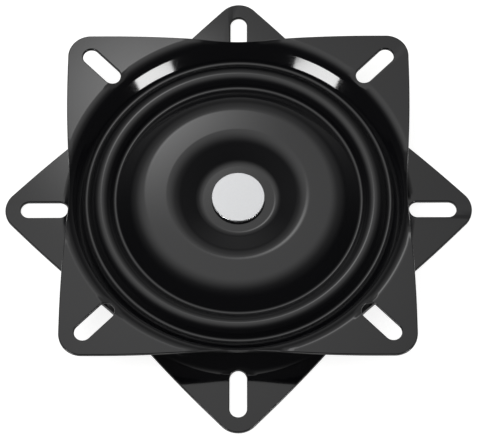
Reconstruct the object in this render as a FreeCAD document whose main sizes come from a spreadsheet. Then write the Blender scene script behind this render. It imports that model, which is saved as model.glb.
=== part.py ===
import FreeCAD, Part
import math
import os

import Sketcher

# Square swivel bearing: two identical pressed plates, one turned over on the other,
# roll on a ring of caged balls and are held together by a rivet through their hubs.
# Millimetres, +Z up, origin on the axis at the face that the lower plate stands on.

# Driving dimensions: alias, value, what it is
DIMENSIONS = [
    ("plate_side", 200.0, "side of the square plate over its corners"),
    ("plate_thick", 2.5, "sheet thickness"),
    ("corner_rad", 13.0, "corner radius of the plate"),
    ("side_bow", 3.1, "how far pressing draws the middle of each side in"),
    ("bow_half", 78.0, "half the length of the drawn-in stretch"),
    ("bow_rad", 240.0, "radius at the middle of the drawn-in stretch"),
    ("edge_round", 0.6, "rounding along the sheared edges"),
    ("slot_long", 27.6, "slot length, end to end"),
    ("slot_wide", 9.8, "slot width"),
    ("slot_ring", 113.2, "distance from the axis to the middle of a slot"),
    ("slot_angle", 45.0, "angle of the first slot from the X axis"),
    ("trim_margin", 40.0, "how far the blanking cut reaches past the round sheet"),
    ("pan_depth", 11.4, "depth of the two creases below the plate's outer face"),
    ("flank_angle", 51.0, "slope of the pan's outer wall"),
    ("rim_bend", 11.0, "bend radius where the pan wall meets the flat plate"),
    ("crease_rad", 2.5, "bend radius at the two creases beside the ball race"),
    ("race_ring", 79.0, "radius of the circle that the ball centres run on"),
    ("race_lift", 4.1, "height of the race bead above the creases"),
    ("groove_ease", 0.3, "groove radius less ball radius"),
    ("ridge_inner", 37.2, "radius of the inner edge of the stiffening ridge"),
    ("fall_wide", 20.6, "how far the ridge's outer edge lies inside the circle of the ball centres"),
    ("ridge_depth", 5.0, "depth of the ridge's top below the plate's outer face"),
    ("ridge_bend", 20.0, "bend radius at the ridge's inner edge"),
    ("ridge_fall", 22.0, "bend radius at the ridge's outer edge"),
    ("hub_rad", 22.6, "radius of the flat hub"),
    ("hub_bend", 10.0, "bend radius where the hub turns up to the ridge"),
    ("ball_dia", 10.0, "ball diameter"),
    ("ball_count", 24.0, "number of balls"),
    ("race_play", 0.1, "gap between a ball and each groove"),
    ("cage_half", 7.6, "half the radial width of the cage"),
    ("cage_rim", 1.4, "thickness of the cage's two rims"),
    ("cage_block_half", 4.4, "half the radial width of the blocks between balls"),
    ("cage_block", 4.0, "thickness of the blocks between balls"),
    ("pocket_play", 0.15, "gap between a ball and its pocket"),
    ("shank_dia", 16.0, "rivet shank diameter"),
    ("hub_play", 0.05, "radial gap between the shank and the hub holes"),
    ("head_dia", 30.8, "rivet head diameter"),
    ("head_thick", 2.0, "rivet head thickness"),
    ("head_chamfer", 0.35, "chamfer round the rivet head"),
    ("washer_play", 0.05, "gap between the turning hub and each washer"),
    ("head_washer_dia", 28.4, "washer under the head, diameter"),
    ("head_washer_thick", 0.5, "washer under the head, thickness"),
    ("spacer_dia", 36.0, "spacer between the hubs, diameter"),
    ("spacer_thick", 0.95, "spacer between the hubs, thickness"),
    ("tail_washer_dia", 30.0, "washer under the tail, diameter"),
    ("tail_washer_thick", 1.5, "washer under the tail, thickness"),
    ("tail_dia", 22.0, "formed tail of the rivet, diameter"),
    ("tail_high", 3.0, "formed tail of the rivet, height"),
    ("tail_rad", 2.2, "rounding of the formed tail"),
    ("plate_twist", 45.0, "angle between the two plates at rest"),
]

# Sizes that follow from the driving ones: alias, formula, what it is
DERIVED = [
    ("sheet_rad", "plate_side", "radius of the round sheet before it is blanked"),
    ("trim_rad", "sheet_rad + trim_margin", "outer radius of what blanking trims off"),
    ("ridge_outer", "race_ring - fall_wide", "radius of the outer edge of the stiffening ridge"),
    ("bead_rad", "ball_dia / 2 + groove_ease + plate_thick", "outside radius of the race bead"),
    ("bead_top", "pan_depth - race_lift", "depth of the bead's crest"),
    ("overall_high", "2 * (bead_top + plate_thick + race_play) + ball_dia", "height over both plates"),
    ("mid_high", "overall_high / 2", "height of the ball centres"),
    ("hub_gap", "spacer_thick + washer_play", "gap between the hubs"),
    ("hub_depth", "mid_high - hub_gap / 2 - plate_thick", "depth of the flat hub below the outer face"),
    ("hub_hole", "shank_dia / 2 + hub_play", "radius of the hub holes"),
    ("upper_hub_top", "overall_high - hub_depth", "height of the upper hub's outer face"),
    ("head_under", "upper_hub_top + washer_play + head_washer_thick", "underside of the rivet head"),
    ("tail_seat", "hub_depth - tail_washer_thick", "height of the tail's seat"),
]

# How a sketch numbers the points of a line or an arc. Its own X axis is -1, with the origin as its start,
# and its own Y axis is -2
START, END, CENTRE = range(1, 4)

# Where on a face, as shares of its two directions, its slope is looked at
PROBES = [(0.2, 0.3), (0.5, 0.5), (0.8, 0.7)]
TOLERANCE = 1e-6


def make_sheet(doc):
    """Makes the spreadsheet that holds every size, and gives the same values as a dict."""
    sheet = doc.addObject("Spreadsheet::Sheet", "Dimensions")
    for row, (alias, value, note) in enumerate(DIMENSIONS, 1):
        sheet.set(f"A{row}", note)
        sheet.set(f"B{row}", str(value))
        sheet.setAlias(f"B{row}", alias)
    for row, (alias, formula, note) in enumerate(DERIVED, len(DIMENSIONS) + 1):
        sheet.set(f"A{row}", note)
        sheet.set(f"B{row}", "=" + formula)
        sheet.setAlias(f"B{row}", alias)
    doc.recompute()
    names = [row[0] for row in DIMENSIONS + DERIVED]
    return {name: float(sheet.get(name)) for name in names}


def bind(thing, prop, formula):
    """Binds a property to a formula over the sheet's aliases."""
    names = [row[0] for row in DIMENSIONS + DERIVED]
    words = [f"Dimensions.{word}" if word in names else word for word in formula.split(" ")]
    thing.setExpression(prop, " ".join(words))


def make_body(doc, label):
    body = doc.addObject("PartDesign::Body", label)
    body.Label = label
    return body


def add_sketch(body, name, plane):
    sketch = body.newObject("Sketcher::SketchObject", name)
    support = [f for f in body.Origin.OriginFeatures if f.Role == plane + "_Plane"][0]
    sketch.AttachmentSupport = [(support, "")]
    sketch.MapMode = "FlatFace"
    return sketch


def point(x, y):
    return FreeCAD.Vector(x, y, 0)


def turned(x, y, angle):
    """The point (x, y) turned about the origin by an angle in radians."""
    return x * math.cos(angle) - y * math.sin(angle), x * math.sin(angle) + y * math.cos(angle)


def add_line(sketch, a, b):
    return sketch.addGeometry(Part.LineSegment(point(*a), point(*b)), False)


def add_arc(sketch, centre, radius, a, b):
    """An arc that runs anticlockwise from angle a to angle b, in radians."""
    circle = Part.Circle(point(*centre), FreeCAD.Vector(0, 0, 1), radius)
    return sketch.addGeometry(Part.ArcOfCircle(circle, a, b), False)


def rule(sketch, kind, *where, formula=None, value=None):
    """Adds a constraint, and binds it to a formula if one is given."""
    args = where if value is None else (*where, value)
    index = sketch.addConstraint(Sketcher.Constraint(kind, *args))
    if formula:
        bind(sketch, f"Constraints[{index}]", formula)
    return index


def join_chain(sketch, chain):
    """Joins each piece of a chain tangentially to the next. A link is (geometry, first end, last end)."""
    for (one, _, out), (two, into, _) in zip(chain, chain[1:]):
        rule(sketch, "Tangent", one, out, two, into)


def bend_points(v):
    """The sheet's outer face in section, from the hub to the brim, as lines and arcs with rough places."""
    hub, ridge = -v["hub_depth"], -v["ridge_depth"]
    crease, bead = v["crease_rad"], v["bead_rad"]
    bead_y = -v["bead_top"] - bead
    crease_y = crease - v["pan_depth"]
    reach = math.sqrt((bead + crease) ** 2 - (crease_y - bead_y) ** 2)
    slope = math.radians(v["flank_angle"])
    inner, outer = v["race_ring"] - reach, v["race_ring"] + reach
    rise = math.atan2(ridge - hub, v["ridge_inner"] - v["hub_rad"])
    fall = math.atan2(v["pan_depth"] - v["ridge_depth"], inner - v["ridge_outer"])
    lean = math.asin((crease_y - bead_y) / (bead + crease))
    hub_x = v["hub_rad"] - v["hub_bend"] * math.tan(rise / 2)
    up_x = v["ridge_inner"] + v["ridge_bend"] * math.tan(rise / 2)
    down_x = v["ridge_outer"] - v["ridge_fall"] * math.tan(fall / 2)
    flank_foot = (outer + crease * math.sin(slope), crease_y - crease * math.cos(slope))
    flank_top_y = -v["rim_bend"] * (1 - math.cos(slope))
    flank_top = (flank_foot[0] + (flank_top_y - flank_foot[1]) / math.tan(slope), flank_top_y)
    rim_x = flank_top[0] + v["rim_bend"] * math.sin(slope)
    half = math.pi / 2
    return {
        "hub_bend": ((hub_x, hub + v["hub_bend"]), -half, -half + rise),
        "ridge_bend": ((up_x, ridge - v["ridge_bend"]), half, half + rise),
        "ridge_fall": ((down_x, ridge - v["ridge_fall"]), half - fall, half),
        "crease_in": ((inner, crease_y), -half - fall, -lean),
        "bead": ((v["race_ring"], bead_y), lean, math.pi - lean),
        "crease_out": ((outer, crease_y), math.pi + lean, 3 * half + slope),
        "rim_bend": ((rim_x, -v["rim_bend"]), half, half + slope),
    }


def arc_ends(centre, radius, a, b):
    """Start and end points of an arc."""
    x, y = centre
    return [(x + radius * math.cos(t), y + radius * math.sin(t)) for t in (a, b)]


def add_face_chain(sketch, v, brim, offset):
    """One face of the sheet in section: offset is 0 for the outer face, the thickness for the inner one."""
    rough = bend_points(v)
    # An arc that bulges up shrinks towards the inner face, and one that bulges down grows
    bends = [
        ("hub_bend", v["hub_bend"] + offset, (START, END)),
        ("ridge_bend", v["ridge_bend"] - offset, (END, START)),
        ("ridge_fall", v["ridge_fall"] - offset, (END, START)),
        ("crease_in", v["crease_rad"] + offset, (START, END)),
        ("bead", v["bead_rad"] - offset, (END, START)),
        ("crease_out", v["crease_rad"] + offset, (START, END)),
        ("rim_bend", v["rim_bend"] - offset, (END, START)),
    ]
    arcs, ends = {}, {}
    for name, radius, (first, last) in bends:
        centre, a, b = rough[name]
        arcs[name] = (add_arc(sketch, centre, radius, a, b), first, last)
        both = arc_ends(centre, radius, a, b)
        ends[name] = (both[first - 1], both[last - 1])
    lines = {
        "hub_flat": ((v["hub_hole"], -v["hub_depth"] - offset), ends["hub_bend"][0]),
        "rise": (ends["hub_bend"][1], ends["ridge_bend"][0]),
        "ridge_top": (ends["ridge_bend"][1], ends["ridge_fall"][0]),
        "fall": (ends["ridge_fall"][1], ends["crease_in"][0]),
        "flank": (ends["crease_out"][1], ends["rim_bend"][0]),
        "brim": (ends["rim_bend"][1], (brim, -offset)),
    }
    lines = {name: (add_line(sketch, a, b), START, END) for name, (a, b) in lines.items()}
    order = ["hub_flat", "hub_bend", "rise", "ridge_bend", "ridge_top", "ridge_fall", "fall"]
    order += ["crease_in", "bead", "crease_out", "flank", "rim_bend", "brim"]
    links = {**arcs, **lines}
    join_chain(sketch, [links[name] for name in order])
    return {name: link[0] for name, link in links.items()}


def draw_section(sketch, v):
    """The pressed sheet in section, from the hub hole out past the plate's corners."""
    brim = v["sheet_rad"]
    outer = add_face_chain(sketch, v, brim, 0.0)
    inner = add_face_chain(sketch, v, brim, v["plate_thick"])
    rule(sketch, "Radius", outer["hub_bend"], value=v["hub_bend"], formula="hub_bend")
    rule(sketch, "Radius", outer["ridge_bend"], value=v["ridge_bend"], formula="ridge_bend")
    rule(sketch, "Radius", outer["ridge_fall"], value=v["ridge_fall"], formula="ridge_fall")
    rule(sketch, "Radius", outer["crease_in"], value=v["crease_rad"], formula="crease_rad")
    rule(sketch, "Radius", outer["crease_out"], value=v["crease_rad"], formula="crease_rad")
    rule(sketch, "Radius", outer["bead"], value=v["bead_rad"], formula="bead_rad")
    rule(sketch, "Radius", outer["rim_bend"], value=v["rim_bend"], formula="rim_bend")
    for name in ("hub_bend", "ridge_bend", "ridge_fall", "crease_in", "bead", "crease_out", "rim_bend"):
        rule(sketch, "Coincident", outer[name], CENTRE, inner[name], CENTRE)
    for name, size in (("hub_bend", "hub_bend"), ("crease_in", "crease_rad")):
        wide = v[size] + v["plate_thick"]
        rule(sketch, "Radius", inner[name], value=wide, formula=f"{size} + plate_thick")
    for name in ("ridge_bend", "ridge_fall", "rim_bend"):
        tight = v[name] - v["plate_thick"]
        rule(sketch, "Radius", inner[name], value=tight, formula=f"{name} - plate_thick")
    for name in ("hub_flat", "brim"):
        rule(sketch, "Horizontal", inner[name])
    # The hub's floor, the ridge's top and the brim lie level
    for name in ("hub_flat", "ridge_top", "brim"):
        rule(sketch, "Horizontal", outer[name])
    rule(sketch, "DistanceX", -1, START, outer["hub_flat"], START, value=v["hub_hole"], formula="hub_hole")
    rule(sketch, "DistanceY", outer["hub_flat"], START, -1, START, value=v["hub_depth"], formula="hub_depth")
    top = v["ridge_depth"]
    rule(sketch, "DistanceY", outer["ridge_top"], START, -1, START, value=top, formula="ridge_depth")
    rule(sketch, "PointOnObject", outer["brim"], END, -1)
    rule(sketch, "DistanceX", -1, START, outer["brim"], END, value=brim, formula="sheet_rad")
    # The race bead over the ball circle, and a crease each side of it down on the pan floor
    rule(sketch, "DistanceX", -1, START, outer["bead"], CENTRE, value=v["race_ring"], formula="race_ring")
    bead_y = v["bead_top"] + v["bead_rad"]
    rule(sketch, "DistanceY", outer["bead"], CENTRE, -1, START, value=bead_y, formula="bead_top + bead_rad")
    crease_y = v["pan_depth"] - v["crease_rad"]
    for name in ("crease_in", "crease_out"):
        rule(sketch, "DistanceY", outer[name], CENTRE, -1, START, value=crease_y,
             formula="pan_depth - crease_rad")
    rule(sketch, "Angle", -1, START, outer["flank"], START, value=math.radians(v["flank_angle"]),
         formula="flank_angle * 1deg")
    # Sharp corners of the hub and the ridge, before they are rounded
    corners = [
        ("hub_rad", -v["hub_depth"], "hub_flat", "rise"),
        ("ridge_inner", -top, "rise", "ridge_top"),
        ("ridge_outer", -top, "ridge_top", "fall"),
    ]
    for size, y, one, two in corners:
        mark = sketch.addGeometry(Part.Point(point(v[size], y)), True)
        rule(sketch, "PointOnObject", mark, START, outer[one])
        rule(sketch, "PointOnObject", mark, START, outer[two])
        rule(sketch, "DistanceX", -1, START, mark, START, value=v[size], formula=size)
    for name, end in (("hub_flat", START), ("brim", END)):
        x = v["hub_hole"] if end == START else brim
        y = -v["hub_depth"] if end == START else 0.0
        cap = add_line(sketch, (x, y), (x, y - v["plate_thick"]))
        rule(sketch, "Coincident", cap, START, outer[name], end)
        rule(sketch, "Coincident", cap, END, inner[name], end)
        rule(sketch, "Vertical", cap)


def draw_blank(sketch, v):
    """What the blanking die trims off: everything outside the square with rounded corners."""
    half, rad = v["plate_side"] / 2, v["corner_rad"]
    far = v["trim_rad"]
    flat = half - rad
    sides, corners = [], []
    for turn in range(4):
        a = turn * math.pi / 2
        sides.append(add_line(sketch, turned(half, -flat, a), turned(half, flat, a)))
        corners.append(add_arc(sketch, turned(flat, flat, a), rad, a, a + math.pi / 2))
    for turn in range(4):
        rule(sketch, "Tangent", sides[turn], END, corners[turn], START)
        rule(sketch, "Tangent", corners[turn], END, sides[(turn + 1) % 4], START)
    rule(sketch, "Vertical", sides[0])
    rule(sketch, "Horizontal", sides[1])
    rule(sketch, "Vertical", sides[2])
    rule(sketch, "Horizontal", sides[3])
    for turn in (1, 2, 3):
        rule(sketch, "Equal", corners[0], corners[turn])
    rule(sketch, "Radius", corners[0], value=rad, formula="corner_rad")
    rule(sketch, "DistanceX", -1, START, sides[0], START, value=half, formula="plate_side / 2")
    rule(sketch, "DistanceX", sides[2], START, -1, START, value=half, formula="plate_side / 2")
    rule(sketch, "DistanceY", -1, START, sides[1], START, value=half, formula="plate_side / 2")
    rule(sketch, "DistanceY", sides[3], START, -1, START, value=half, formula="plate_side / 2")
    ring = sketch.addGeometry(Part.Circle(point(0, 0), FreeCAD.Vector(0, 0, 1), far), False)
    rule(sketch, "Coincident", ring, CENTRE, -1, START)
    rule(sketch, "Radius", ring, value=far, formula="trim_rad")


def draw_bow(sketch, v):
    """The sliver that the drawn-in middle of one side leaves outside the plate."""
    half, bow, span = v["plate_side"] / 2, v["side_bow"], v["bow_half"]
    turn = 2 * math.atan2(bow, span)
    both = span / math.sin(turn)
    mid, ease = v["bow_rad"], both - v["bow_rad"]
    # The middle arc is hollow, and an arc each end eases it back to the straight side
    hollow = add_arc(sketch, (half - bow + mid, 0), mid, math.pi - turn, math.pi + turn)
    above = add_arc(sketch, (half - ease, span), ease, -turn, 0.0)
    below = add_arc(sketch, (half - ease, -span), ease, 0.0, turn)
    chord = add_line(sketch, (half, -span), (half, span))
    rule(sketch, "Tangent", hollow, START, above, START)
    rule(sketch, "Tangent", hollow, END, below, END)
    rule(sketch, "Coincident", chord, END, above, END)
    rule(sketch, "Coincident", chord, START, below, START)
    rule(sketch, "Symmetric", chord, START, chord, END, -1)
    rule(sketch, "DistanceX", -1, START, chord, START, value=half, formula="plate_side / 2")
    rule(sketch, "DistanceY", -1, START, chord, END, value=span, formula="bow_half")
    rule(sketch, "DistanceY", -1, START, above, CENTRE, value=span, formula="bow_half")
    rule(sketch, "DistanceY", below, CENTRE, -1, START, value=span, formula="bow_half")
    rule(sketch, "PointOnObject", hollow, CENTRE, -1)
    rule(sketch, "Radius", hollow, value=mid, formula="bow_rad")
    centre_x = half - bow + mid
    rule(sketch, "DistanceX", -1, START, hollow, CENTRE, value=centre_x,
         formula="plate_side / 2 - side_bow + bow_rad")


def draw_slot(sketch, v):
    """One slot, on the diagonal, with its length towards the axis."""
    rad, reach = v["slot_wide"] / 2, v["slot_long"] / 2 - v["slot_wide"] / 2
    near, far = v["slot_ring"] - reach, v["slot_ring"] + reach
    a, half = math.radians(v["slot_angle"]), math.pi / 2
    outer = add_arc(sketch, turned(far, 0, a), rad, a - half, a + half)
    inner = add_arc(sketch, turned(near, 0, a), rad, a + half, a + 3 * half)
    left = add_line(sketch, turned(far, rad, a), turned(near, rad, a))
    right = add_line(sketch, turned(near, -rad, a), turned(far, -rad, a))
    rule(sketch, "Tangent", outer, END, left, START)
    rule(sketch, "Tangent", left, END, inner, START)
    rule(sketch, "Tangent", inner, END, right, START)
    rule(sketch, "Tangent", right, END, outer, START)
    rule(sketch, "Radius", outer, value=rad, formula="slot_wide / 2")
    rule(sketch, "Equal", outer, inner)
    for arc, s, formula in (
        (outer, far, "( slot_ring + slot_long / 2 - slot_wide / 2 )"),
        (inner, near, "( slot_ring - slot_long / 2 + slot_wide / 2 )"),
    ):
        x, y = turned(s, 0, a)
        rule(sketch, "DistanceX", -1, START, arc, CENTRE, value=x,
             formula=formula + " * cos( slot_angle * 1deg )")
        rule(sketch, "DistanceY", -1, START, arc, CENTRE, value=y,
             formula=formula + " * sin( slot_angle * 1deg )")


def cut_through(body, name, sketch):
    """A pocket through the whole sheet, both ways from the sketch."""
    pocket = body.newObject("PartDesign::Pocket", name)
    pocket.Profile = sketch
    pocket.Type = "ThroughAll"
    pocket.Midplane = True
    sketch.Visibility = False
    return pocket


def repeat_round(body, name, feature, count, formula=None):
    """Repeats a feature round the body's Z axis, and makes the pattern the body's tip."""
    pattern = body.newObject("PartDesign::PolarPattern", name)
    pattern.Originals = [feature]
    axis = [f for f in body.Origin.OriginFeatures if f.Role == "Z_Axis"][0]
    pattern.Axis = (axis, [""])
    pattern.Angle = 360
    pattern.Occurrences = count
    if formula:
        bind(pattern, "Occurrences", formula)
    body.Tip = pattern
    return pattern


def revolve(body, name, sketch):
    round_body = body.newObject("PartDesign::Revolution", name)
    round_body.Profile = sketch
    round_body.ReferenceAxis = (sketch, ["V_Axis"])
    round_body.Angle = 360
    sketch.Visibility = False
    return round_body


def sheared_edges(shape):
    """Edges where the sheet's faces meet the walls that the dies cut square to the flat plate."""
    count = {}
    for face in shape.Faces:
        u0, u1, w0, w1 = face.ParameterRange
        spots = [(u0 + (u1 - u0) * a, w0 + (w1 - w0) * b) for a, b in PROBES]
        if all(abs(face.normalAt(*spot).z) < TOLERANCE for spot in spots):
            for edge in face.Edges:
                count[edge.hashCode()] = count.get(edge.hashCode(), 0) + 1
    # An edge between two cut walls runs down a joint of the outline, and stays as it is
    return [f"Edge{n}" for n, edge in enumerate(shape.Edges, 1) if count.get(edge.hashCode()) == 1]


def make_plate(doc, label, v):
    """A pressed plate in its own frame: the outer face of its flat corners at Z 0, the pan below."""
    body = make_body(doc, label)
    section = add_sketch(body, label + "_section", "XZ")
    draw_section(section, v)
    doc.recompute()
    pressed = revolve(body, label + "_pressed", section)
    doc.recompute()
    blank = add_sketch(body, label + "_blank", "XY")
    draw_blank(blank, v)
    doc.recompute()
    cut_through(body, label + "_blanked", blank)
    doc.recompute()
    bow = add_sketch(body, label + "_bow", "XY")
    draw_bow(bow, v)
    doc.recompute()
    sliver = cut_through(body, label + "_drawn_side", bow)
    doc.recompute()
    repeat_round(body, label + "_drawn_sides", sliver, 4)
    doc.recompute()
    slot = add_sketch(body, label + "_slot_outline", "XY")
    draw_slot(slot, v)
    doc.recompute()
    first = cut_through(body, label + "_slot", slot)
    doc.recompute()
    slots = repeat_round(body, label + "_slots", first, 4)
    doc.recompute()
    rounded = body.newObject("PartDesign::Fillet", label + "_edge_rounding")
    rounded.Base = (slots, sheared_edges(slots.Shape))
    bind(rounded, "Radius", "edge_round")
    doc.recompute()
    return body


def draw_ring_band(sketch, v, half, thick, half_formula, thick_formula):
    """A rectangle about the ball circle, in section."""
    ring, mid = v["race_ring"], v["mid_high"]
    x0, x1, y0, y1 = ring - half, ring + half, mid - thick / 2, mid + thick / 2
    corners = [(x0, y0), (x1, y0), (x1, y1), (x0, y1)]
    sides = [add_line(sketch, corners[n], corners[(n + 1) % 4]) for n in range(4)]
    for n in range(4):
        rule(sketch, "Coincident", sides[n], END, sides[(n + 1) % 4], START)
        rule(sketch, "Horizontal" if n % 2 == 0 else "Vertical", sides[n])
    rule(sketch, "DistanceX", -1, START, sides[0], START, value=x0, formula=f"race_ring - {half_formula}")
    rule(sketch, "DistanceX", -1, START, sides[0], END, value=x1, formula=f"race_ring + {half_formula}")
    rule(sketch, "DistanceY", -1, START, sides[0], START, value=y0, formula=f"mid_high - {thick_formula} / 2")
    rule(sketch, "DistanceY", -1, START, sides[2], START, value=y1, formula=f"mid_high + {thick_formula} / 2")


def make_cage(doc, v):
    """The ring that keeps the balls apart: two thin rims joined by thicker blocks."""
    body = make_body(doc, "ball_cage")
    rims = add_sketch(body, "cage_rims_section", "XZ")
    draw_ring_band(rims, v, v["cage_half"], v["cage_rim"], "cage_half", "cage_rim")
    doc.recompute()
    revolve(body, "cage_rims", rims)
    doc.recompute()
    blocks = add_sketch(body, "cage_blocks_section", "XZ")
    draw_ring_band(blocks, v, v["cage_block_half"], v["cage_block"], "cage_block_half", "cage_block")
    doc.recompute()
    revolve(body, "cage_blocks", blocks)
    doc.recompute()
    outline = add_sketch(body, "cage_pocket_outline", "XY")
    rad = v["ball_dia"] / 2 + v["pocket_play"]
    ring = outline.addGeometry(Part.Circle(point(v["race_ring"], 0), FreeCAD.Vector(0, 0, 1), rad), False)
    rule(outline, "PointOnObject", ring, CENTRE, -1)
    rule(outline, "DistanceX", -1, START, ring, CENTRE, value=v["race_ring"], formula="race_ring")
    rule(outline, "Radius", ring, value=rad, formula="ball_dia / 2 + pocket_play")
    doc.recompute()
    pocket = cut_through(body, "cage_pocket", outline)
    doc.recompute()
    repeat_round(body, "cage_pockets", pocket, int(v["ball_count"]), "ball_count")
    doc.recompute()
    return body


def make_balls(doc, v):
    """The balls, each on the ball circle at mid height."""
    balls = []
    for n in range(int(v["ball_count"])):
        ball = doc.addObject("Part::Sphere", f"ball_{n + 1:02d}")
        ball.Label = ball.Name
        bind(ball, "Radius", "ball_dia / 2")
        bind(ball, "Placement.Base.x", f"race_ring * cos( {n} * 360deg / ball_count )")
        bind(ball, "Placement.Base.y", f"race_ring * sin( {n} * 360deg / ball_count )")
        bind(ball, "Placement.Base.z", "mid_high")
        balls.append(ball)
    return balls


def draw_steps(sketch, v, steps):
    """A closed outline of level and upright lines. Each step is (x, x formula, y, y formula)."""
    count = len(steps)
    spots = []
    for n, (x, _, y, _) in enumerate(steps):
        spots.append((x, y))
        spots.append((x, steps[(n + 1) % count][2]))
    lines = [add_line(sketch, spots[n], spots[(n + 1) % len(spots)]) for n in range(len(spots))]
    for n, line in enumerate(lines):
        rule(sketch, "Coincident", line, END, lines[(n + 1) % len(lines)], START)
        rule(sketch, "Vertical" if n % 2 == 0 else "Horizontal", line)
    for n, (x, x_formula, y, y_formula) in enumerate(steps):
        line = lines[2 * n]
        if x_formula is None:
            rule(sketch, "PointOnObject", line, START, -2)
        else:
            rule(sketch, "DistanceX", -1, START, line, START, value=x, formula=x_formula)
        rule(sketch, "DistanceY", -1, START, line, START, value=y, formula=y_formula)
    return lines


def level_edges(shape, z, radius):
    """Circular edges of a given radius at a given height."""
    found = []
    for n, edge in enumerate(shape.Edges, 1):
        fits = hasattr(edge.Curve, "Radius") and abs(edge.Curve.Radius - radius) < TOLERANCE
        box = edge.BoundBox
        if fits and abs(box.ZMin - z) < TOLERANCE and abs(box.ZMax - z) < TOLERANCE:
            found.append(f"Edge{n}")
    return found


def make_rivet(doc, v):
    """The rivet that holds both hubs: a flat head above, a plain shank, and a formed tail below."""
    body = make_body(doc, "center_rivet")
    section = add_sketch(body, "rivet_section", "XZ")
    tail_low = v["tail_seat"] - v["tail_high"]
    head_top = v["head_under"] + v["head_thick"]
    draw_steps(section, v, [
        (0.0, None, head_top, "head_under + head_thick"),
        (v["tail_dia"] / 2, "tail_dia / 2", tail_low, "tail_seat - tail_high"),
        (v["shank_dia"] / 2, "shank_dia / 2", v["tail_seat"], "tail_seat"),
        (v["head_dia"] / 2, "head_dia / 2", v["head_under"], "head_under"),
    ])
    doc.recompute()
    plain = revolve(body, "rivet_turned", section)
    doc.recompute()
    bevel = body.newObject("PartDesign::Chamfer", "rivet_head_chamfer")
    bevel.Base = (plain, level_edges(plain.Shape, head_top, v["head_dia"] / 2))
    bind(bevel, "Size", "head_chamfer")
    doc.recompute()
    soft = body.newObject("PartDesign::Fillet", "rivet_tail_rounding")
    soft.Base = (bevel, level_edges(bevel.Shape, tail_low, v["tail_dia"] / 2))
    bind(soft, "Radius", "tail_rad")
    doc.recompute()
    return body


def make_washer(doc, label, v, outside, bottom, thick):
    """A flat washer on the shank. Sizes are (value, formula) pairs."""
    body = make_body(doc, label)
    section = add_sketch(body, label + "_section", "XZ")
    top = bottom[0] + thick[0]
    draw_steps(section, v, [
        (v["hub_hole"], "hub_hole", top, f"{bottom[1]} + {thick[1]}"),
        (outside[0] / 2, f"{outside[1]} / 2", bottom[0], bottom[1]),
    ])
    doc.recompute()
    revolve(body, label + "_turned", section)
    doc.recompute()
    return body


def find_faults(doc, pieces, sketches):
    """Lists anything that did not compute to a sound solid."""
    faults = [f"{item.Name} {item.State}" for item in doc.Objects
              if "Invalid" in item.State or "Error" in item.State]
    faults += [f"{item.Name} is not fully constrained" for item in sketches if not item.FullyConstrained]
    for piece in pieces:
        shape = piece.Shape
        if shape.isNull() or not shape.isValid() or len(shape.Solids) != 1:
            faults.append(f"{piece.Label} is not one sound solid")
    return faults


def main():
    os.makedirs("parts", exist_ok=True)
    doc = FreeCAD.newDocument("swivel_bearing")
    v = make_sheet(doc)
    upper = make_plate(doc, "upper_plate", v)
    bind(upper, "Placement.Base.z", "overall_high")
    lower = make_plate(doc, "lower_plate", v)
    # The same stamping turned over about X, then turned on its axis
    over = FreeCAD.Rotation(FreeCAD.Vector(1, 0, 0), 180)
    twist = FreeCAD.Rotation(FreeCAD.Vector(0, 0, 1), v["plate_twist"])
    lower.Placement = FreeCAD.Placement(FreeCAD.Vector(0, 0, 0), twist.multiply(over))
    cage = make_cage(doc, v)
    balls = make_balls(doc, v)
    rivet = make_rivet(doc, v)
    washers = [
        make_washer(doc, "head_washer", v, (v["head_washer_dia"], "head_washer_dia"),
                    (v["upper_hub_top"] + v["washer_play"], "upper_hub_top + washer_play"),
                    (v["head_washer_thick"], "head_washer_thick")),
        make_washer(doc, "hub_spacer", v, (v["spacer_dia"], "spacer_dia"),
                    (v["hub_depth"] + v["plate_thick"], "hub_depth + plate_thick"),
                    (v["spacer_thick"], "spacer_thick")),
        make_washer(doc, "tail_washer", v, (v["tail_washer_dia"], "tail_washer_dia"),
                    (v["tail_seat"], "tail_seat"),
                    (v["tail_washer_thick"], "tail_washer_thick")),
    ]
    doc.recompute()
    pieces = [upper, lower, cage, *balls, rivet, *washers]
    sketches = [item for item in doc.Objects if item.TypeId == "Sketcher::SketchObject"]
    faults = find_faults(doc, pieces, sketches)
    if faults:
        raise SystemExit("Not sound: " + "; ".join(faults))
    for piece in pieces:
        piece.Shape.exportStep(f"parts/{piece.Label}.step")
    print(f"{len(pieces)} pieces, {v['overall_high']:.2f} mm high")


main()
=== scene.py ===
import math

import bpy
from mathutils import Matrix, Vector
from mathutils.kdtree import KDTree


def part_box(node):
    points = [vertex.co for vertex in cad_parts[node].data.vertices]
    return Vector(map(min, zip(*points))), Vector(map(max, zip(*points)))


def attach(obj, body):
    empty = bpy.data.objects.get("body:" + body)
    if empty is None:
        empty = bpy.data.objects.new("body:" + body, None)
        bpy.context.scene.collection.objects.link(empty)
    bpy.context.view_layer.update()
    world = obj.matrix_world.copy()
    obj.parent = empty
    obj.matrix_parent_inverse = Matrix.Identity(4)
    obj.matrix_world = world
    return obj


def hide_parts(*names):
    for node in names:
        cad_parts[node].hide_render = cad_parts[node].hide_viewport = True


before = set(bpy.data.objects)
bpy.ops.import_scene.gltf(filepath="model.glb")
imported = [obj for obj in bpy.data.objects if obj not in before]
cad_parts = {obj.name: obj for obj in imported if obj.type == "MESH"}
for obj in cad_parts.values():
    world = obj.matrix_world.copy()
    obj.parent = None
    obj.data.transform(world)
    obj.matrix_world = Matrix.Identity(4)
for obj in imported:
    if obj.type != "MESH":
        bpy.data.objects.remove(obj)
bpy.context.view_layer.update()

mm = 0.001
fullTurn = 2 * math.pi
flatPlane = (Vector((1, 0, 0)), Vector((0, 1, 0)))     # outlines are drawn looking down
sidePlane = (Vector((1, 0, 0)), Vector((0, 0, 1)))     # sections are drawn from the side, the axis at the left
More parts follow.
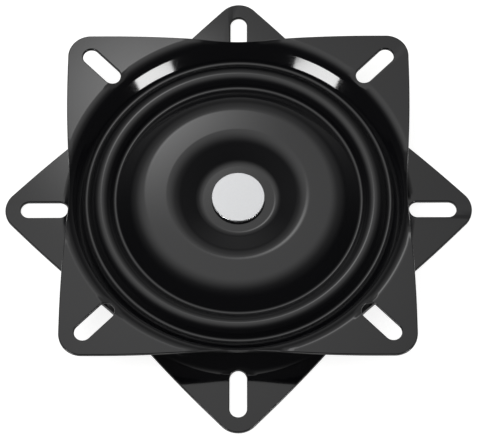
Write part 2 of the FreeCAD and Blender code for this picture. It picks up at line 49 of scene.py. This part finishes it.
bendStep = 4.0                                         # degrees in one facet of a drawn bend, at most
facetLong = 4.0                                        # mm, likewise
alongside = 0.47                                       # how nearly two edges run the same way, 1 for quite

# where the frame holds the pieces
plateLow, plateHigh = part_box("upper_plate")
rivetLow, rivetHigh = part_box("center_rivet")
ballNodes = sorted(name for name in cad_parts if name.startswith("ball_") and name != "ball_cage")


# Drawing and shaping

def deselectAll():
    bpy.ops.object.select_all(action="DESELECT")


def pick(piece):
    deselectAll()
    piece.select_set(True)
    bpy.context.view_layer.objects.active = piece


def beginPiece(name, place):
    # one loose point at the given place, ready to be drawn out
    deselectAll()
    bpy.ops.mesh.primitive_plane_add(size=mm, location=(0, 0, 0))
    piece = bpy.context.object
    piece.name = name
    piece.data.name = name
    bpy.ops.object.mode_set(mode="EDIT")
    bpy.ops.mesh.select_all(action="SELECT")
    bpy.ops.mesh.merge(type="CENTER")
    bpy.ops.transform.translate(value=place)
    return piece


def drawPath(start, heading, steps, plane):
    # runs are straight, bends are arcs (to the left is plus) and turns are sharp corners, in mm and degrees
    across, up = plane
    normal = across.cross(up)
    place = (across * start[0] + up * start[1]) * mm
    angle = math.radians(heading)
    for kind, size, *more in steps:
        ahead = across * math.cos(angle) + up * math.sin(angle)
        if kind == "run":
            bpy.ops.mesh.extrude_region_move(TRANSFORM_OT_translate={"value": ahead * size * mm})
            place = place + ahead * size * mm
        elif kind == "turn":
            angle += math.radians(size)
        else:
            turn = math.radians(more[0])
            middle = place + normal.cross(ahead) * math.copysign(size * mm, turn)
            facets = max(2, round(abs(more[0]) / bendStep), round(abs(turn) * size / facetLong))
            bpy.ops.mesh.spin(steps=facets, angle=-turn, center=middle, axis=normal)     # spin turns clockwise
            place = middle + Matrix.Rotation(turn, 3, normal) @ (place - middle)
            angle += turn


def mergePoints(gap=0.001):
    bpy.ops.mesh.select_all(action="SELECT")
    bpy.ops.mesh.remove_doubles(threshold=gap * mm)


def leaveEdit():
    bpy.ops.object.mode_set(mode="OBJECT")


def turnOnAxis(facets):
    # the drawn section is spun round the swivel axis
    bpy.ops.mesh.select_all(action="SELECT")
    bpy.ops.mesh.spin(steps=facets, angle=fullTurn, center=(0, 0, 0), axis=(0, 0, 1))
    mergePoints()
    bpy.ops.mesh.normals_make_consistent(inside=False)
    leaveEdit()


def raiseOutline(height):
    # a closed outline becomes a block
    mergePoints()
    bpy.ops.mesh.edge_face_add()
    bpy.ops.mesh.extrude_region_move(TRANSFORM_OT_translate={"value": (0, 0, height * mm)})
    bpy.ops.mesh.select_all(action="SELECT")
    bpy.ops.mesh.normals_make_consistent(inside=False)
    leaveEdit()


def addModifier(piece, kind, **settings):
    pick(piece)
    modifier = piece.modifiers.new(kind.title(), kind)
    for key, value in settings.items():
        setattr(modifier, key, value)
    bpy.ops.object.modifier_apply(modifier=modifier.name)


def cutWith(piece, cutter, operation):
    addModifier(piece, "BOOLEAN", operation=operation, solver="EXACT", object=cutter)
    bpy.data.objects.remove(cutter)


def smooth(piece, angle=30):
    # rounded over the bends, crisp at the corners
    pick(piece)
    bpy.ops.object.shade_smooth_by_angle(angle=math.radians(angle))


def copyPiece(piece, name, placing):
    # a copy with a mesh of its own, moved or turned into place
    pick(piece)
    bpy.ops.object.duplicate(linked=False)
    twin = bpy.context.object
    twin.name = name
    twin.data.name = name
    twin.matrix_world = placing @ twin.matrix_world
    bpy.ops.object.transform_apply(location=True, rotation=True, scale=True)
    return twin


def dress(piece, material, slot, body, *nodes):
    # gives a finished piece its material and its body, and hides the nodes that it stands for
    if piece.data.materials:
        piece.data.materials[0] = material
    else:
        piece.data.materials.append(material)
    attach(piece, body)
    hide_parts(*nodes)


# Materials

def paint(hexColour):
    # an sRGB hex value as the linear colour that a shader takes
    parts = [int(hexColour[n:n + 2], 16) / 255 for n in (1, 3, 5)]
    return [c / 12.92 if c <= 0.04045 else ((c + 0.055) / 1.055) ** 2.4 for c in parts] + [1]


def perMetre(sizeMm):
    # the noise scale that gives features of this size
    return 1 / (sizeMm * mm)


def addNode(material, kind, inputs=None, **settings):
    # inputs take a value or the socket that feeds them, settings are the node's own
    node = material.node_tree.nodes.new(kind)
    for key, value in settings.items():
        setattr(node, key, value)
    for key, value in (inputs or {}).items():
        if isinstance(value, bpy.types.NodeSocket):
            material.node_tree.links.new(value, node.inputs[key])
        else:
            node.inputs[key].default_value = value
    return node


def newMaterial(name):
    material = bpy.data.materials.new(name)
    material.use_nodes = True
    material.node_tree.nodes.clear()
    return material


def endMaterial(material, shader, output="BSDF"):
    addNode(material, "ShaderNodeOutputMaterial", {"Surface": shader.outputs[output]})
    return material


stoveEnamel = {
    "colour": "#08080a",
    "gloss": (0.06, 0.10),     # roughness, from the clearest to the haziest patch
    "patch": 35.0,             # mm, slow change of gloss across the sheet
    "peel": 1.8,               # mm, orange peel of a sprayed coat
    "peelDepth": 0.002,        # mm
}


def makeStoveEnamel():
    # black stove enamel, sprayed and baked on pressed steel: a deep dark gloss with a faint orange peel
    material = newMaterial("blackStoveEnamel")
    place = addNode(material, "ShaderNodeTexCoord").outputs["Object"]
    patch = addNode(material, "ShaderNodeTexNoise",
                    {"Vector": place, "Scale": perMetre(stoveEnamel["patch"]), "Detail": 2.0})
    gloss = addNode(material, "ShaderNodeMapRange",
                    {"Value": patch.outputs["Fac"], "To Min": stoveEnamel["gloss"][0],
                     "To Max": stoveEnamel["gloss"][1]})
    peel = addNode(material, "ShaderNodeTexNoise",
                   {"Vector": place, "Scale": perMetre(stoveEnamel["peel"]), "Detail": 1.0})
    bump = addNode(material, "ShaderNodeBump",
                   {"Height": peel.outputs["Fac"], "Distance": stoveEnamel["peelDepth"] * mm, "Strength": 1.0})
    shader = addNode(material, "ShaderNodeBsdfPrincipled",
                     {"Base Color": paint(stoveEnamel["colour"]), "Roughness": gloss.outputs["Result"],
                      "IOR": 1.5, "Normal": bump.outputs["Normal"]})
    return endMaterial(material, shader)


# sheared walls: the darker colour and the low specular level are painted shade, while the roughness and grit are
# the walls' own
shearedEnamelAndShade = {"colour": "#050506", "roughness": (0.45, 0.62), "grit": 0.7, "gritDepth": 0.02, "specular": 0.12}


def makeShearedEnamelAndShade():
    # the same enamel over a sheared wall, where it lies thin on torn steel: finely rough and dull; its darker
    # colour and low specular level are painted shade, which keeps the walls black where they would reflect the
    # bright floor
    material = newMaterial("dullShearedEnamelPaintedShade")
    place = addNode(material, "ShaderNodeTexCoord").outputs["Object"]
    grit = addNode(material, "ShaderNodeTexNoise",
                   {"Vector": place, "Scale": perMetre(shearedEnamelAndShade["grit"]), "Detail": 2.0})
    sheen = addNode(material, "ShaderNodeMapRange",
                    {"Value": grit.outputs["Fac"], "To Min": shearedEnamelAndShade["roughness"][0],
                     "To Max": shearedEnamelAndShade["roughness"][1]})
    bump = addNode(material, "ShaderNodeBump",
                   {"Height": grit.outputs["Fac"], "Distance": shearedEnamelAndShade["gritDepth"] * mm, "Strength": 1.0})
    shader = addNode(material, "ShaderNodeBsdfPrincipled",
                     {"Base Color": paint(shearedEnamelAndShade["colour"]), "Roughness": sheen.outputs["Result"],
                      "IOR": 1.5, "Specular IOR Level": shearedEnamelAndShade["specular"],
                      "Normal": bump.outputs["Normal"]})
    return endMaterial(material, shader)


zincPlate = {
    "light": "#e0e1e2", "dull": "#d6d7d9", "grain": 1.2,
    "roughness": (0.36, 0.46), "markPitch": 0.6, "markDepth": 0.002,
}

bearingSteel = {
    "light": "#c6c8ca", "dull": "#b7b9bc", "grain": 1.6,
    "roughness": (0.07, 0.13), "markPitch": 0.8, "markDepth": 0.0003,
}


def makeMetal(name, finish):
    # turned and plated, or ground, steel: a faint mottle, fine rings from the lathe and a soft sheen
    # (the rings are drawn coarser than real so that they show)
    material = newMaterial(name)
    place = addNode(material, "ShaderNodeTexCoord").outputs["Object"]
    mottle = addNode(material, "ShaderNodeTexNoise",
                     {"Vector": place, "Scale": perMetre(finish["grain"]), "Detail": 3.0})
    tone = addNode(material, "ShaderNodeValToRGB", {"Fac": mottle.outputs["Fac"]})
    tone.color_ramp.elements[0].color = paint(finish["dull"])
    tone.color_ramp.elements[1].color = paint(finish["light"])
    sheen = addNode(material, "ShaderNodeMapRange",
                    {"Value": mottle.outputs["Fac"], "To Min": finish["roughness"][0],
                     "To Max": finish["roughness"][1]})
    rings = addNode(material, "ShaderNodeTexWave",
                    {"Vector": place, "Scale": perMetre(finish["markPitch"]) / 20, "Distortion": 0.6,
                     "Detail Scale": 2.0},
                    wave_type="RINGS", rings_direction="Z")
    bump = addNode(material, "ShaderNodeBump",
                   {"Height": rings.outputs["Fac"], "Distance": finish["markDepth"] * mm, "Strength": 1.0})
    shader = addNode(material, "ShaderNodeBsdfPrincipled",
                     {"Base Color": tone.outputs["Color"], "Metallic": 1.0,
                      "Roughness": sheen.outputs["Result"], "Normal": bump.outputs["Normal"]})
    return endMaterial(material, shader)


naturalNylon = {
    "light": "#e0dccd", "dull": "#d0cbb9", "cloud": 3.0, "roughness": (0.38, 0.5), "skin": 0.6,
}

darkNylon = {
    "light": "#1d1d1f", "dull": "#131315", "cloud": 2.0, "roughness": (0.32, 0.45), "skin": 0.5,
}


def makeNylon(name, finish):
    # moulded nylon: a slight waxy sheen over a finely rippled skin
    material = newMaterial(name)
    place = addNode(material, "ShaderNodeTexCoord").outputs["Object"]
    cloud = addNode(material, "ShaderNodeTexNoise",
                    {"Vector": place, "Scale": perMetre(finish["cloud"]), "Detail": 2.0})
    tone = addNode(material, "ShaderNodeValToRGB", {"Fac": cloud.outputs["Fac"]})
    tone.color_ramp.elements[0].color = paint(finish["dull"])
    tone.color_ramp.elements[1].color = paint(finish["light"])
    sheen = addNode(material, "ShaderNodeMapRange",
                    {"Value": cloud.outputs["Fac"], "To Min": finish["roughness"][0],
                     "To Max": finish["roughness"][1]})
    skin = addNode(material, "ShaderNodeTexNoise",
                   {"Vector": place, "Scale": perMetre(finish["skin"]), "Detail": 2.0})
    bump = addNode(material, "ShaderNodeBump",
                   {"Height": skin.outputs["Fac"], "Distance": 0.01 * mm, "Strength": 0.5})
    shader = addNode(material, "ShaderNodeBsdfPrincipled",
                     {"Base Color": tone.outputs["Color"], "Roughness": sheen.outputs["Result"],
                      "IOR": 1.53, "Normal": bump.outputs["Normal"]})
    return endMaterial(material, shader)


# The two plates, one stamping used twice

plate = {
    "side": (plateHigh.x - plateLow.x) / mm,           # across the corner flats
    "thick": 2.5, "corner": 13.1,
    "bow": 3.1, "bowHalf": 78.0, "bowRadius": 240.0,   # each side is drawn in by the pressing
    "slotLong": 27.6, "slotWide": 9.8, "slotRing": 113.2,
    "hubHole": 8.05, "hub": 22.6, "hubBend": 10.0,
    "ridgeInner": 37.2, "ridgeOuter": 58.4, "ridgeDepth": 5.0, "ridgeBend": 20.0, "ridgeFall": 22.0,
    "race": 79.0, "bead": 7.8, "beadLift": 4.1, "crease": 2.5, "creaseDepth": 11.4,
    "flank": 51.0, "rimBend": 11.0,
    "edge": 0.6,                                       # rounding along the sheared edges
    "facets": 240,                                     # round the axis
}
plate["hubDepth"] = (plateHigh.z - plateLow.z) / mm - plate["thick"]


def panSection(size):
    # runs and bends of the sheet's outer face, from the hub hole out past the corners
    deep = size["hubDepth"] - size["ridgeDepth"]
    wide = size["ridgeInner"] - size["hub"]
    rise = math.degrees(math.atan2(deep, wide))
    riseCut = math.tan(math.radians(rise / 2))
    hubRun = size["hub"] - size["hubHole"] - size["hubBend"] * riseCut
    riseRun = math.hypot(deep, wide) - (size["hubBend"] + size["ridgeBend"]) * riseCut
    # the bead's arc touches a crease's arc on each side of the race
    reach = size["bead"] + size["crease"]
    drop = reach - size["beadLift"]
    span = math.sqrt(reach ** 2 - drop ** 2)
    beadSlope = math.degrees(math.acos(drop / reach))
    # the fall from the ridge ends where it touches the inner crease
    down = size["creaseDepth"] - size["crease"] - size["ridgeDepth"]
    out = size["race"] - span - size["ridgeOuter"]
    far = math.hypot(out, down)
    fall = math.degrees(math.atan2(down, out) + math.asin(size["crease"] / far))
    fallCut = size["ridgeFall"] * math.tan(math.radians(fall / 2))
    ridgeRun = size["ridgeOuter"] - size["ridgeInner"] - size["ridgeBend"] * riseCut - fallCut
    fallRun = math.sqrt(far ** 2 - size["crease"] ** 2) - fallCut
    # the flank climbs to the level of the corner flats
    tilt = math.radians(size["flank"])
    bends = size["crease"] + size["rimBend"]
    climb = size["creaseDepth"] - bends * (1 - math.cos(tilt))
    rimStart = size["race"] + span + bends * math.sin(tilt) + climb / math.tan(tilt)
    brim = size["side"] * 0.72 - rimStart
    return [
        ("run", hubRun), ("bend", size["hubBend"], rise), ("run", riseRun),
        ("bend", size["ridgeBend"], -rise), ("run", ridgeRun), ("bend", size["ridgeFall"], -fall),
        ("run", fallRun), ("bend", size["crease"], fall + beadSlope),
        ("bend", size["bead"], -2 * beadSlope), ("bend", size["crease"], beadSlope + size["flank"]),
        ("run", climb / math.sin(tilt)), ("bend", size["rimBend"], -size["flank"]), ("run", brim),
    ]


def sideSteps(size):
    # one drawn-in side, then the corner after it
    turn = math.degrees(2 * math.atan2(size["bow"], size["bowHalf"]))
    ease = size["bowHalf"] / math.sin(math.radians(turn)) - size["bowRadius"]
    straight = size["side"] / 2 - size["corner"] - size["bowHalf"]
    return [
        ("run", straight), ("bend", ease, turn), ("bend", size["bowRadius"], -2 * turn),
        ("bend", ease, turn), ("run", straight), ("bend", size["corner"], 90),
    ]


def slotSteps(size):
    run = size["slotLong"] - size["slotWide"]
    return [("run", run), ("bend", size["slotWide"] / 2, 180)] * 2


def markFaces(piece, mark):
    # two empty material slots tell the faces of the sheet, 0, from the walls that the dies cut, 1
    for slot in range(2):
        piece.data.materials.append(None)
    for face in piece.data.polygons:
        face.material_index = mark


def makeCutter(name, start, heading, steps, deep):
    # a block from well below the sheet to well above it
    cutter = beginPiece(name, (start[0] * mm, start[1] * mm, -deep * mm))
    drawPath((start[0], start[1]), heading, steps, flatPlane)
    raiseOutline(2 * deep)
    markFaces(cutter, 1)
    return cutter


def makePlate(name, size):
    # spun as a skin, thickened to sheet, blanked to its outline, slotted, and eased along the sheared edges
    hubStart = (size["hubHole"], -size["hubDepth"])
    piece = beginPiece(name, (hubStart[0] * mm, 0, hubStart[1] * mm))
    drawPath(hubStart, 0, panSection(size), sidePlane)
    turnOnAxis(size["facets"])
    brim = max(piece.data.polygons, key=lambda face: face.center.xy.length)
    if brim.normal.z < 0:
        bpy.ops.object.mode_set(mode="EDIT")
        bpy.ops.mesh.select_all(action="SELECT")
        bpy.ops.mesh.flip_normals()
        leaveEdit()
    markFaces(piece, 0)
    addModifier(piece, "SOLIDIFY", thickness=size["thick"] * mm, offset=-1, use_even_offset=True,
                material_offset_rim=1)
    deep = 2 * size["hubDepth"]
    half = size["side"] / 2
    blank = makeCutter("blank", (half, size["corner"] - half), 90, sideSteps(size) * 4, deep)
    cutWith(piece, blank, "INTERSECT")
    run = size["slotLong"] - size["slotWide"]
    corner = Vector((size["slotRing"] - run / 2, -size["slotWide"] / 2))
    for heading in (45, 135, 225, 315):
        start = Matrix.Rotation(math.radians(heading), 2) @ corner
        slot = makeCutter("slot", start, heading, slotSteps(size), deep)
        cutWith(piece, slot, "DIFFERENCE")
    mergeAlongWalls(piece, size["edge"] / 2)
    clearBeside(piece, size["edge"] * 2)
    addModifier(piece, "BEVEL", width=size["edge"] * mm, segments=2, limit_method="WEIGHT",
                use_clamp_overlap=False, loop_slide=False, material=0, face_strength_mode="FSTR_ALL")
    return piece


def mergeAlongWalls(piece, gap):
    # points of the sheared walls that came out very close together are merged
    pick(piece)
    bpy.ops.object.mode_set(mode="EDIT")
    bpy.ops.mesh.select_mode(type="VERT")
    bpy.ops.mesh.select_all(action="DESELECT")
    leaveEdit()
    for face in piece.data.polygons:
        if face.material_index == 1:
            for n in face.vertices:
                piece.data.vertices[n].select = True
    bpy.ops.object.mode_set(mode="EDIT")
    bpy.ops.mesh.remove_doubles(threshold=gap * mm)
    leaveEdit()


def clearBeside(piece, room):
    # lines of the mesh that run along a sheared edge and close to it are dissolved, so that it can be eased
    mesh = piece.data
    marks = {}
    for face in mesh.polygons:
        for key in face.edge_keys:
            marks.setdefault(key, set()).add(face.material_index)
    sheared = {edge.index for edge in mesh.edges if len(marks[edge.key]) == 2}
    weights = mesh.attributes.new("bevel_weight_edge", "FLOAT", "EDGE")
    spots = []
    for edge in mesh.edges:
        if edge.index not in sheared:
            continue
        weights.data[edge.index].value = 1.0
        a, b = (mesh.vertices[n].co for n in edge.vertices)
        count = max(1, math.ceil((b - a).length / (room * mm / 4)))
        spots += [(a.lerp(b, n / count), (b - a).normalized()) for n in range(count + 1)]
    tree = KDTree(len(spots))
    for n, (spot, ahead) in enumerate(spots):
        tree.insert(spot, n)
    tree.balance()
    near = [tree.find(vertex.co)[1:] for vertex in mesh.vertices]
    bpy.ops.object.mode_set(mode="EDIT")
    bpy.ops.mesh.select_mode(type="EDGE")
    bpy.ops.mesh.select_all(action="DESELECT")
    leaveEdit()
    for edge in mesh.edges:
        n, gap = min((near[n] for n in edge.vertices), key=lambda item: item[1])
        a, b = (mesh.vertices[n].co for n in edge.vertices)
        share = abs((b - a).normalized().dot(spots[n][1]))
        edge.select = edge.index not in sheared and gap < room * mm and share > alongside
    bpy.ops.object.mode_set(mode="EDIT")
    bpy.ops.mesh.dissolve_edges(use_verts=True, use_face_split=False)
    bpy.ops.mesh.select_mode(type="VERT")
    leaveEdit()


def finishPlate(piece):
    # round over the eased edges, which leave the shading of the sheet beside them alone
    smooth(piece, 60)
    addModifier(piece, "WEIGHTED_NORMAL", keep_sharp=True, weight=50, use_face_influence=True)


upperPlate = makePlate("upperPlateShown", plate)
turnOver = Matrix.Rotation(math.radians(45), 4, "Z") @ Matrix.Rotation(math.pi, 4, "X")
lowerPlate = copyPiece(upperPlate, "lowerPlateShown", turnOver)
pick(upperPlate)
bpy.ops.transform.translate(value=(0, 0, plateHigh.z))
bpy.ops.object.transform_apply(location=True, rotation=True, scale=True)
for piece in (upperPlate, lowerPlate):
    finishPlate(piece)
print("plates made:", len(upperPlate.data.polygons), "faces each")

enamel = makeStoveEnamel()
dullEnamelPaintedShade = makeShearedEnamelAndShade()
# the sheared walls get the rough enamel with painted shade: a darker colour that barely reflects
for piece in (upperPlate, lowerPlate):
    piece.data.materials[1] = dullEnamelPaintedShade
dress(upperPlate, enamel, "black_paint", "top", "upper_plate")
dress(lowerPlate, enamel, "black_paint", "base", "lower_plate")


# Turned pieces on the axis

turnedFacets = 96


def turnPiece(name, start, heading, steps, facets=turnedFacets):
    # a solid of revolution from a drawn section
    piece = beginPiece(name, (start[0] * mm, 0, start[1] * mm))
    drawPath(start, heading, steps, sidePlane)
    turnOnAxis(facets)
    return piece


rivet = {
    "head": (rivetHigh.x - rivetLow.x) / mm / 2, "top": rivetHigh.z / mm, "foot": rivetLow.z / mm,
    "headThick": 2.0, "bevel": 0.35, "shank": 8.0, "tail": 11.0, "tailHigh": 3.0, "tailRound": 2.2,
}


def makeRivet(size):
    # flat head with a small bevel, plain shank, rounded tail
    shankLong = size["top"] - size["headThick"] - size["foot"] - size["tailHigh"]
    piece = turnPiece("centerRivetShown", (0, size["top"]), 0, [
        ("run", size["head"] - size["bevel"]), ("turn", -45), ("run", size["bevel"] * math.sqrt(2)), ("turn", -45),
        ("run", size["headThick"] - size["bevel"]), ("turn", -90), ("run", size["head"] - size["shank"]),
        ("turn", 90), ("run", shankLong), ("turn", 90), ("run", size["tail"] - size["shank"]),
        ("turn", -90), ("run", size["tailHigh"] - size["tailRound"]), ("bend", size["tailRound"], -90),
        ("run", size["tail"] - size["tailRound"]),
    ])
    addModifier(piece, "BEVEL", width=0.12 * mm, segments=2, limit_method="ANGLE",
                angle_limit=math.radians(30), use_clamp_overlap=True)
    smooth(piece, 40)
    addModifier(piece, "WEIGHTED_NORMAL", keep_sharp=True, weight=100)
    return piece


def makeWasher(name, node, inner, edge):
    # a flat ring as high and as wide as its node
    low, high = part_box(node)
    outer = (high.x - low.x) / mm / 2
    thick = (high.z - low.z) / mm
    piece = turnPiece(name, (inner, low.z / mm), 0, [
        ("run", outer - inner), ("turn", 90), ("run", thick), ("turn", 90), ("run", outer - inner),
        ("turn", 90), ("run", thick),
    ])
    addModifier(piece, "BEVEL", width=edge * mm, segments=2, limit_method="ANGLE",
                angle_limit=math.radians(30), use_clamp_overlap=True)
    smooth(piece, 40)
    addModifier(piece, "WEIGHTED_NORMAL", keep_sharp=True, weight=100)
    return piece


zinc = makeMetal("brightZincPlate", zincPlate)
steel = makeMetal("groundBearingSteel", bearingSteel)
paleNylon = makeNylon("naturalNylon", naturalNylon)
blackNylon = makeNylon("darkNylon", darkNylon)

dress(makeRivet(rivet), zinc, "zinc_plate", "base", "center_rivet")
dress(makeWasher("headWasherShown", "head_washer", plate["hubHole"], 0.08), blackNylon,
      "dark_nylon", "base", "head_washer")
dress(makeWasher("hubSpacerShown", "hub_spacer", plate["hubHole"], 0.12), blackNylon,
      "dark_nylon", "base", "hub_spacer")
dress(makeWasher("tailWasherShown", "tail_washer", plate["hubHole"], 0.2), zinc,
      "zinc_plate", "base", "tail_washer")
print("rivet and washers made")


# Balls and their cage

ball = {"radius": 5.0, "facets": 32}


def makeBall(name, size):
    # a half circle spun about the ball's own upright axis
    piece = beginPiece(name, (0, 0, -size["radius"] * mm))
    drawPath((0, -size["radius"]), 0, [("bend", size["radius"], 180)], sidePlane)
    turnOnAxis(size["facets"])
    pick(piece)
    bpy.ops.object.shade_smooth()
    return piece


firstBall = makeBall("steelBall", ball)
for node in ballNodes:
    low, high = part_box(node)
    shown = copyPiece(firstBall, "steelBall" + node[-2:], Matrix.Translation((low + high) / 2))
    dress(shown, steel, "bearing_steel", "cage", node)
bpy.data.objects.remove(firstBall)


def makeCage():
    # the ring keeps its own true form: its facets are joined up and shaded smooth, crisp at the corners
    pick(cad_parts["ball_cage"])
    bpy.ops.object.duplicate(linked=False)
    piece = bpy.context.object
    piece.name = "ballCageShown"
    piece.data.name = "ballCageShown"
    for key in list(piece.keys()):
        del piece[key]
    piece.parent = None
    bpy.ops.object.mode_set(mode="EDIT")
    mergePoints(0.002)
    leaveEdit()
    smooth(piece, 30)
    addModifier(piece, "WEIGHTED_NORMAL", keep_sharp=True, weight=100)
    return piece


dress(makeCage(), paleNylon, "cage_nylon", "cage", "ball_cage")
print("balls and cage made:", len(ballNodes), "balls")


# Studio

camera = {
    "target": (0.32, -5.17, 2.5),      # mm
    "distance": 1272.0, "elevation": 66.3, "azimuth": 1.07, "roll": -1.1,
    "lens": 164.7, "sensor": 36.0,
}


def makeCamera(view):
    high = math.radians(view["elevation"])
    swing = math.radians(view["azimuth"])
    back = Vector((math.sin(swing) * math.cos(high), -math.cos(swing) * math.cos(high), math.sin(high)))
    place = (Vector(view["target"]) + back * view["distance"]) * mm
    data = bpy.data.cameras.new("studioCamera")
    data.lens = view["lens"]
    data.sensor_width = view["sensor"]
    data.clip_start = 0.01
    item = bpy.data.objects.new("studioCamera", data)
    bpy.context.scene.collection.objects.link(item)
    item.matrix_world = (Matrix.Translation(place) @ Matrix.Rotation(swing, 4, "Z")
                         @ Matrix.Rotation(math.pi / 2 - high, 4, "X")
                         @ Matrix.Rotation(math.radians(view["roll"]), 4, "Z"))
    bpy.context.scene.camera = item


makeCamera(camera)


def seenRays(material):
    # 1 for rays from the camera, from gloss and through glass, 0 for scattered light
    path = addNode(material, "ShaderNodeLightPath")
    first = addNode(material, "ShaderNodeMath", {0: path.outputs["Is Camera Ray"],
                                                 1: path.outputs["Is Glossy Ray"]}, operation="MAXIMUM")
    return addNode(material, "ShaderNodeMath", {0: first.outputs[0],
                                                1: path.outputs["Is Transmission Ray"]},
                   operation="MAXIMUM").outputs[0]


studio = {
    "ambient": 0.72,                                # scattered light from the white room
    "floor": "#b0b0af", "floorLift": 0.80,
    "drapeRadius": 2.5,                             # metres
    "drapeFront": 0.045, "drapeBack": 0.55,         # how bright the dark drape is
}


def makeRoom(values):
    # a white room, seen as white by the eye and by the gloss
    world = bpy.data.worlds.new("whiteRoom")
    bpy.context.scene.world = world
    world.use_nodes = True
    world.node_tree.nodes.clear()
    level = addNode(world, "ShaderNodeMapRange", {"Value": seenRays(world), "To Min": values["ambient"],
                                                  "To Max": 1.0})
    light = addNode(world, "ShaderNodeBackground", {"Color": paint("#ffffff"), "Strength": level.outputs["Result"]})
    addNode(world, "ShaderNodeOutputWorld", {"Surface": light.outputs["Background"]})


def makeFloor(values):
    # a pale matt floor that keeps the object's shadow
    deselectAll()
    bpy.ops.mesh.primitive_plane_add(size=12, location=(0, 0, -0.05 * mm))
    floor = bpy.context.object
    floor.name = "studioFloor"
    material = newMaterial("paleFloor")
    matt = addNode(material, "ShaderNodeBsdfDiffuse", {"Color": paint(values["floor"])})
    lift = addNode(material, "ShaderNodeMath", {0: seenRays(material), 1: values["floorLift"]},
                   operation="MULTIPLY")
    glow = addNode(material, "ShaderNodeEmission", {"Strength": lift.outputs[0]})
    both = addNode(material, "ShaderNodeAddShader", {0: matt.outputs[0], 1: glow.outputs[0]})
    floor.data.materials.append(endMaterial(material, both, "Shader"))


def glossOnly(item):
    item.visible_camera = False
    item.visible_diffuse = False
    item.visible_shadow = False
    item.visible_transmission = False


def makeDrape(values):
    # a dark drape over the whole set that only the gloss sees, nearly black in front and grey low down behind
    deselectAll()
    radius = values["drapeRadius"]
    bpy.ops.mesh.primitive_uv_sphere_add(segments=64, ring_count=32, radius=radius, location=(0, 0, 0))
    drape = bpy.context.object
    drape.name = "darkDrape"
    material = newMaterial("darkDrape")
    split = addNode(material, "ShaderNodeSeparateXYZ",
                    {"Vector": addNode(material, "ShaderNodeTexCoord").outputs["Object"]})
    behind = addNode(material, "ShaderNodeMath", {0: split.outputs["Y"], 1: 0.0}, operation="MAXIMUM")
    upward = addNode(material, "ShaderNodeMath", {0: split.outputs["Z"], 1: radius}, operation="ADD")
    share = addNode(material, "ShaderNodeMath", {0: behind.outputs[0], 1: upward.outputs[0]}, operation="DIVIDE")
    curve = addNode(material, "ShaderNodeMath", {0: share.outputs[0], 1: 2.0}, operation="POWER")
    level = addNode(material, "ShaderNodeMapRange", {"Value": curve.outputs[0], "To Min": values["drapeFront"],
                                                     "To Max": values["drapeBack"]})
    glow = addNode(material, "ShaderNodeEmission", {"Strength": level.outputs["Result"]})
    drape.data.materials.append(endMaterial(material, glow, "Emission"))
    glossOnly(drape)


# round softboxes overhead, brightest in the middle: place and radius in metres
overheadLamps = {
    "keyLamp": {"place": (-0.114, 0.552, 0.99), "radius": 0.17, "strength": 3.15},
    "fillLamp": {"place": (-0.125, 0.345, 1.0), "radius": 0.72, "strength": 0.86},
    "broadLamp": {"place": (-0.060, 0.700, 1.01), "radius": 1.45, "strength": 0.58},
}

# two low windows in front, seen in the pan's outer wall: bearing from straight ahead in degrees, the rest in mm
frontWindows = {
    "rightWindow": {"bearing": 46.0, "far": 900, "low": 150, "high": 288, "wide": 330, "strength": 19},
    "leftWindow": {"bearing": -43.5, "far": 900, "low": 150, "high": 288, "wide": 390, "strength": 19},
}

# a soft lamp above and to the left that gives the matt surfaces their shade
softLamp = {"place": (-0.7, -0.2, 1.7), "size": 1.0, "power": 9.0}


def makeOverheadLamp(name, lamp):
    # a level disc that fades out towards its rim and lets through what lies behind it
    deselectAll()
    bpy.ops.mesh.primitive_circle_add(vertices=64, radius=lamp["radius"], fill_type="NGON",
                                      location=lamp["place"])
    disc = bpy.context.object
    disc.name = name
    material = newMaterial(name)
    distance = addNode(material, "ShaderNodeVectorMath",
                       {0: addNode(material, "ShaderNodeTexCoord").outputs["Object"]}, operation="LENGTH")
    level = addNode(material, "ShaderNodeMapRange",
                    {"Value": distance.outputs["Value"], "From Min": lamp["radius"], "From Max": 0.0,
                     "To Max": lamp["strength"]}, interpolation_type="SMOOTHSTEP")
    glow = addNode(material, "ShaderNodeEmission", {"Strength": level.outputs["Result"]})
    clear = addNode(material, "ShaderNodeBsdfTransparent")
    both = addNode(material, "ShaderNodeAddShader", {0: glow.outputs[0], 1: clear.outputs[0]})
    disc.data.materials.append(endMaterial(material, both, "Shader"))
    glossOnly(disc)


def makeWindow(name, window):
    bearing = math.radians(window["bearing"])
    height = window["high"] - window["low"]
    place = Vector((math.sin(bearing) * window["far"], -math.cos(bearing) * window["far"],
                    window["low"] + height / 2))
    deselectAll()
    bpy.ops.mesh.primitive_plane_add(size=1)
    pane = bpy.context.object
    pane.name = name
    pane.matrix_world = (Matrix.Translation(place * mm) @ Matrix.Rotation(bearing, 4, "Z")
                         @ Matrix.Rotation(math.pi / 2, 4, "X")
                         @ Matrix.Diagonal((window["wide"] * mm, height * mm, 1, 1)))
    material = newMaterial(name)
    glow = addNode(material, "ShaderNodeEmission", {"Strength": window["strength"]})
    pane.data.materials.append(endMaterial(material, glow, "Emission"))
    glossOnly(pane)


def makeSoftLamp(lamp):
    data = bpy.data.lights.new("softLamp", "AREA")
    data.size = lamp["size"]
    data.energy = lamp["power"]
    item = bpy.data.objects.new("softLamp", data)
    bpy.context.scene.collection.objects.link(item)
    item.location = lamp["place"]
    item.rotation_euler = Vector(lamp["place"]).to_track_quat("Z", "Y").to_euler()
    item.visible_glossy = False


makeRoom(studio)
makeFloor(studio)
makeDrape(studio)
for name, lamp in overheadLamps.items():
    makeOverheadLamp(name, lamp)
for name, window in frontWindows.items():
    makeWindow(name, window)
makeSoftLamp(softLamp)
bpy.context.scene.view_settings.view_transform = "Standard"
print("studio made")
